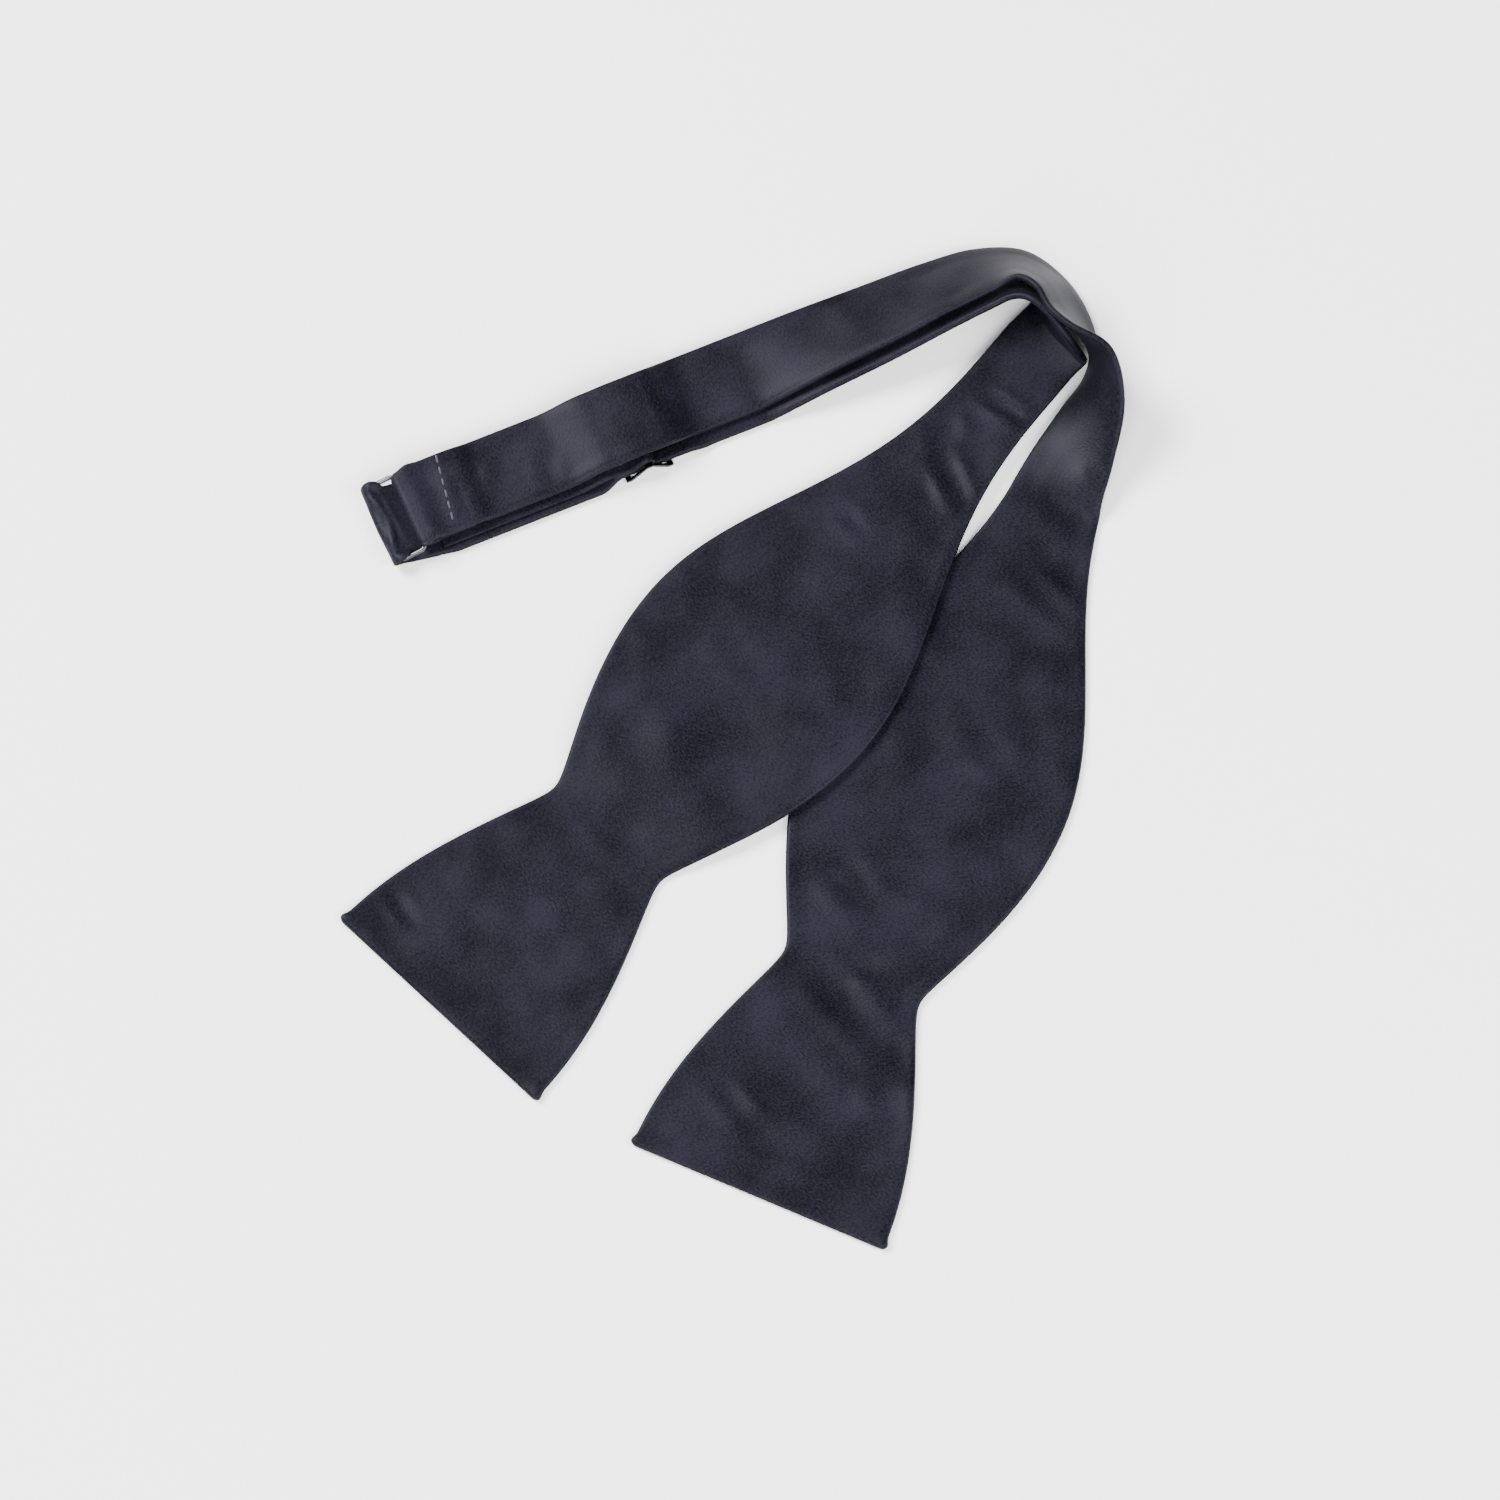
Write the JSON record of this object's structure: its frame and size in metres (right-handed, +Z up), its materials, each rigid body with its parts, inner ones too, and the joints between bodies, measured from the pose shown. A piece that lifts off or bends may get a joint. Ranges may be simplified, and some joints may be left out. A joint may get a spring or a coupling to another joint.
{
  "type": "bow tie",
  "caption": "Self-tie silk bow tie laid down folded, with butterfly blades, a doubled neckband and a metal ring and slider that set its neck size.",
  "frame": {"origin": "on the table, under the middle of the folded tie", "axes": "+Z up from the table; +Y from the blade tips towards the neckband; +X from the ring end towards the turn"},
  "size_m": [0.192, 0.2638, 0.0218],
  "materials": {
    "silk": "midnight navy satin weave",
    "interlining": "plain woven canvas",
    "thread": "light blue sewing thread",
    "ring_metal": "polished, lightly worn",
    "slider_metal": "black lacquer"
  },
  "bodies": {
    "neckband": {"ring_half_band_outer": "silk", "ring_half_band_interlining": "interlining", "ring_half_band_inner": "silk", "ring_half_turn_outer": "silk", "ring_half_turn_interlining": "interlining", "ring_half_turn_inner": "silk", "ring_half_blade_outer": "silk", "ring_half_blade_interlining": "interlining", "ring_half_blade_inner": "silk", "strap_half_band_outer": "silk", "strap_half_band_interlining": "interlining", "strap_half_band_inner": "silk", "strap_half_turn_outer": "silk", "strap_half_turn_interlining": "interlining", "strap_half_turn_inner": "silk", "ring_half_loop": "silk", "ring_loop_stitches": "thread", "strap_loop": "silk"},
    "upper_blade": {"strap_half_blade_outer": "silk", "strap_half_blade_interlining": "interlining", "strap_half_blade_inner": "silk"},
    "upper_tip": {"strap_half_tip_outer": "silk", "strap_half_tip_interlining": "interlining", "strap_half_tip_inner": "silk"},
    "lower_tip": {"ring_half_tip_outer": "silk", "ring_half_tip_interlining": "interlining", "ring_half_tip_inner": "silk"},
    "ring": {"adjuster_ring": "ring_metal"},
    "slider": {"adjuster_slider": "slider_metal", "strap_return": "silk", "strap_hem_stitches": "thread"}
  },
  "joints": [
    {"name": "upper_blade_lift", "type": "hinge", "parent": "neckband", "child": "upper_blade", "pos_m": [0.07524, 0.10392, 0.0037], "axis": [-0.7837, 0.6211, 0], "range_deg": [0, 45]},
    {"name": "upper_tip_fold", "type": "hinge", "parent": "upper_blade", "child": "upper_tip", "pos_m": [-0.03082, -0.02313, 0.0017], "axis": [-0.7228, 0.691, 0], "range_deg": [0, 60]},
    {"name": "lower_tip_fold", "type": "hinge", "parent": "neckband", "child": "lower_tip", "pos_m": [0.02872, -0.06055, 0.0017], "axis": [-0.9123, 0.4094, 0], "range_deg": [0, 60]},
    {"name": "ring_tilt", "type": "hinge", "parent": "neckband", "child": "ring", "pos_m": [-0.08008, 0.06301, 0.0044], "axis": [-0.3907, 0.9205, 0], "range_deg": [-3, 3]},
    {"name": "slider_slide", "type": "slide", "parent": "neckband", "child": "slider", "axis": [0.9205, 0.3907, 0], "range_m": [0, 0.004]}
  ]
}
